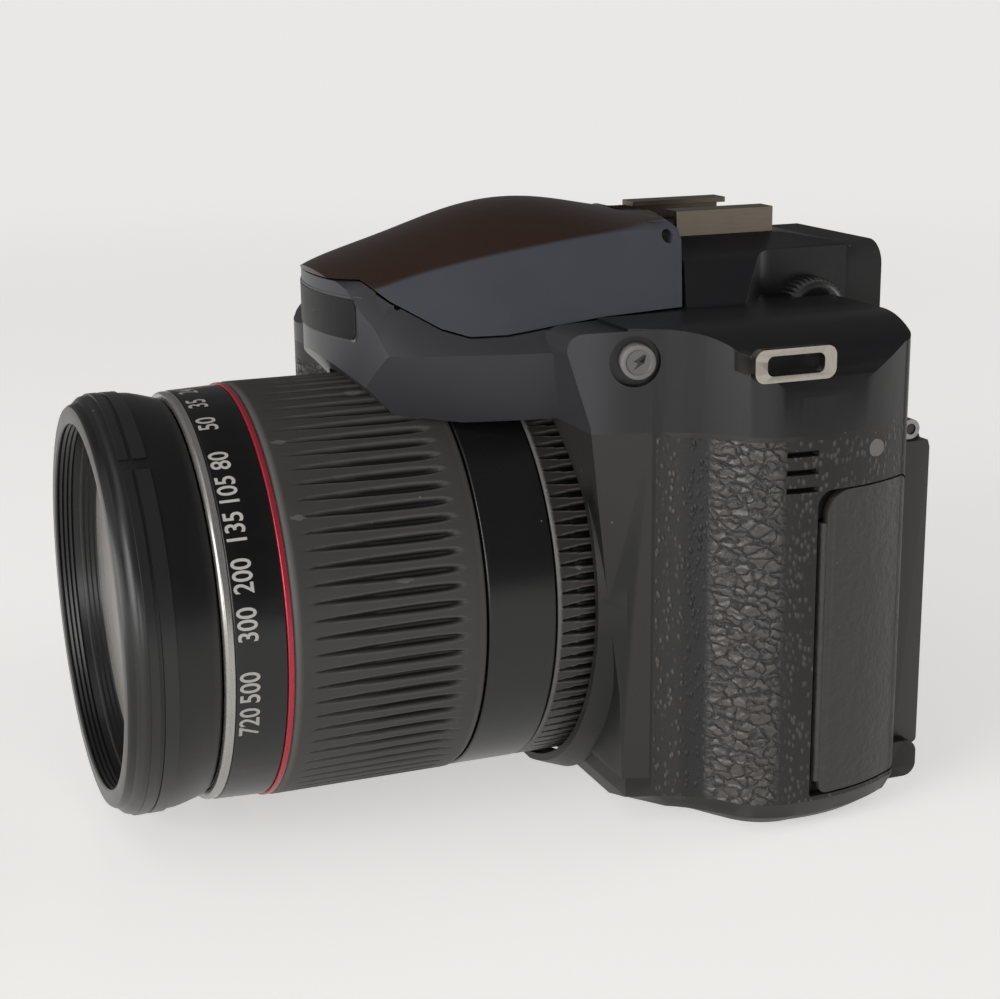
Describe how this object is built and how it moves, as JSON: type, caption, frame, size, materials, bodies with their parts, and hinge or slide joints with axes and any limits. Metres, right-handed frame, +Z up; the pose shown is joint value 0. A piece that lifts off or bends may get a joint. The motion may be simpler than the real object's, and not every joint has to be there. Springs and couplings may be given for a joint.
{
  "type": "digital bridge camera",
  "caption": "Digital bridge camera with an extending zoom lens, raised flash head, hot shoe, hinged rear screen and side doors.",
  "frame": {"origin": "centre of the tripod socket's mouth on the underside", "axes": "-Y the way the lens looks, +Z up, +X to the viewer's left"},
  "size_m": [0.1344, 0.1335, 0.0964],
  "materials": {
    "cover_black": "fine matte, light edge wear",
    "chassis_steel": "pressed sheet",
    "leather_skin": "wrinkled grain",
    "grip_skin": "pebbled grain",
    "shoe_metal": "pressed and worn",
    "screw_steel": "blackened",
    "lug_steel": "polished edges",
    "board_green": "coated board",
    "sensor_glass": "filter glass",
    "eyecup_rubber": "matte",
    "clear_glass": "clear",
    "screen_face": "dark display glass",
    "speaker_black": "woven cover",
    "battery_case_grey": "plain moulding",
    "inner_plastic": "plain moulding",
    "lamp_plastic": "clear amber moulding",
    "barrel_plastic": "fine spark-eroded texture",
    "gloss_black": "polished moulding",
    "lens_rubber": "moulded ribs",
    "red_metal": "anodised",
    "silver_metal": "turned",
    "coated_glass": "coated",
    "hump_black": "polished moulding",
    "reflector_chrome": "bright",
    "dial_metal": "knurled, dark anodised",
    "door_plastic": "soft touch",
    "button_grey": "satin moulding"
  },
  "bodies": {
    "body": {"front_cover": "cover_black", "rear_cover": "cover_black", "top_cover": "cover_black", "bottom_cover": "cover_black", "chassis": "chassis_steel", "side_leather": "leather_skin", "grip_rubber": "grip_skin", "hot_shoe": "shoe_metal", "hot_shoe_screws": "screw_steel", "strap_lugs": "lug_steel", "tripod_socket": "lug_steel", "main_board": "board_green", "image_sensor": "sensor_glass", "eyecup": "eyecup_rubber", "eyepiece_lens": "clear_glass", "viewfinder_display": "screen_face", "speaker": "speaker_black", "terminal_sockets": "lug_steel", "battery": "battery_case_grey", "battery_case": "inner_plastic", "memory_card": "inner_plastic", "card_slot": "chassis_steel", "flash_capacitor": "inner_plastic", "focus_lamp": "lamp_plastic", "cover_screws": "screw_steel", "guide_tube": "barrel_plastic", "badge_ring": "gloss_black", "flash_hinge_pin": "screw_steel"},
    "focus_ring": {"focus_ring": "barrel_plastic"},
    "zoom_ring": {"zoom_ring": "gloss_black", "zoom_rubber": "lens_rubber", "red_ring": "red_metal", "silver_ring": "silver_metal"},
    "middle_barrel": {"middle_barrel": "barrel_plastic", "zoom_lens": "clear_glass"},
    "inner_barrel": {"inner_barrel": "barrel_plastic", "front_ring": "barrel_plastic", "front_lens": "coated_glass", "baffle_ring": "barrel_plastic"},
    "flash_head": {"flash_lid": "hump_black", "flash_reflector": "reflector_chrome", "flash_window": "clear_glass"},
    "shutter_button": {"shutter_button": "gloss_black"},
    "power_lever": {"power_lever": "barrel_plastic"},
    "mode_dial": {"mode_dial": "dial_metal"},
    "command_dial": {"command_dial": "dial_metal"},
    "diopter_wheel": {"diopter_wheel": "barrel_plastic"},
    "screen_bracket": {"screen_bracket": "chassis_steel"},
    "screen": {"screen_frame": "barrel_plastic", "screen_glass": "screen_face"},
    "battery_door": {"battery_door": "cover_black"},
    "card_door": {"card_door": "cover_black"},
    "terminal_cover": {"terminal_cover": "door_plastic"},
    "flash_button": {"flash_button": "button_grey"},
    "exposure_button": {"exposure_button": "button_grey"},
    "burst_button": {"burst_button": "button_grey"},
    "record_button": {"record_button": "button_grey"},
    "playback_button": {"playback_button": "button_grey"},
    "selector_pad": {"selector_pad": "button_grey"},
    "ok_button": {"ok_button": "button_grey"}
  },
  "joints": [
    {"name": "focus_turn", "type": "hinge", "parent": "body", "child": "focus_ring", "pos_m": [0, -0.02, 0.0356], "axis": [0, -1, 0], "continuous": true},
    {"name": "zoom_turn", "type": "hinge", "parent": "body", "child": "zoom_ring", "pos_m": [0, -0.05, 0.0356], "axis": [0, -1, 0], "range_deg": [0, 115]},
    {"name": "middle_slide", "type": "slide", "parent": "body", "child": "middle_barrel", "axis": [0, -1, 0], "range_m": [0, 0.0252]},
    {"name": "inner_slide", "type": "slide", "parent": "middle_barrel", "child": "inner_barrel", "axis": [0, -1, 0], "range_m": [0, 0.0252]},
    {"name": "flash_raise", "type": "hinge", "parent": "body", "child": "flash_head", "pos_m": [0, -0.001, 0.0906], "axis": [-1, 0, 0], "range_deg": [0, 38]},
    {"name": "shutter_press", "type": "slide", "parent": "body", "child": "shutter_button", "axis": [0, 0.3863, -0.9224], "range_m": [0, 0.0009], "stiffness_N_per_m": 300},
    {"name": "power_turn", "type": "hinge", "parent": "body", "child": "power_lever", "pos_m": [-0.063, -0.0276, 0.07347], "axis": [0, 0.3863, -0.9224], "range_deg": [0, 30]},
    {"name": "mode_turn", "type": "hinge", "parent": "body", "child": "mode_dial", "pos_m": [-0.0454, 0.0076, 0.08], "axis": [0, 0, 1], "continuous": true},
    {"name": "command_turn", "type": "hinge", "parent": "body", "child": "command_dial", "pos_m": [-0.067, 0.0156, 0.08], "axis": [0, 0, 1], "continuous": true},
    {"name": "diopter_turn", "type": "hinge", "parent": "body", "child": "diopter_wheel", "pos_m": [0.0164, 0.0246, 0.0772], "axis": [1, 0, 0], "continuous": true},
    {"name": "bracket_tilt", "type": "hinge", "parent": "body", "child": "screen_bracket", "pos_m": [0, 0.029, 0.0052], "axis": [-1, 0, 0], "range_deg": [0, 45]},
    {"name": "screen_tilt", "type": "hinge", "parent": "screen_bracket", "child": "screen", "pos_m": [0, 0.0295, 0.0613], "axis": [1, 0, 0], "range_deg": [0, 85]},
    {"name": "battery_door_turn", "type": "hinge", "parent": "body", "child": "battery_door", "pos_m": [-0.0509, -0.005, 0.00105], "axis": [0, -1, 0], "range_deg": [0, 90]},
    {"name": "card_door_turn", "type": "hinge", "parent": "body", "child": "card_door", "pos_m": [-0.0798, 0.0134, 0.032], "axis": [0, 0, -1], "range_deg": [0, 100]},
    {"name": "terminal_cover_turn", "type": "hinge", "parent": "body", "child": "terminal_cover", "pos_m": [0.0482, 0.0101, 0.03], "axis": [0, 0, -1], "range_deg": [0, 100]},
    {"name": "flash_button_press", "type": "slide", "parent": "body", "child": "flash_button", "axis": [-0.9565, 0.2918, 0], "range_m": [0, 0.0004], "stiffness_N_per_m": 300},
    {"name": "exposure_press", "type": "slide", "parent": "body", "child": "exposure_button", "axis": [0, 0, -1], "range_m": [0, 0.0005], "stiffness_N_per_m": 300},
    {"name": "burst_press", "type": "slide", "parent": "body", "child": "burst_button", "axis": [0, 0, -1], "range_m": [0, 0.0005], "stiffness_N_per_m": 300},
    {"name": "record_press", "type": "slide", "parent": "body", "child": "record_button", "axis": [0, -1, 0], "range_m": [0, 0.0005], "stiffness_N_per_m": 300},
    {"name": "playback_press", "type": "slide", "parent": "body", "child": "playback_button", "axis": [0, -1, 0], "range_m": [0, 0.0005], "stiffness_N_per_m": 300},
    {"name": "selector_press", "type": "slide", "parent": "body", "child": "selector_pad", "axis": [0, -1, 0], "range_m": [0, 0.0005], "stiffness_N_per_m": 300},
    {"name": "ok_press", "type": "slide", "parent": "body", "child": "ok_button", "axis": [0, -1, 0], "range_m": [0, 0.0005], "stiffness_N_per_m": 300}
  ],
  "couplings": [
    {"joint": "middle_slide", "follows": "zoom_turn", "m_per_rad": 0.012456},
    {"joint": "inner_slide", "follows": "zoom_turn", "m_per_rad": 0.012456}
  ]
}
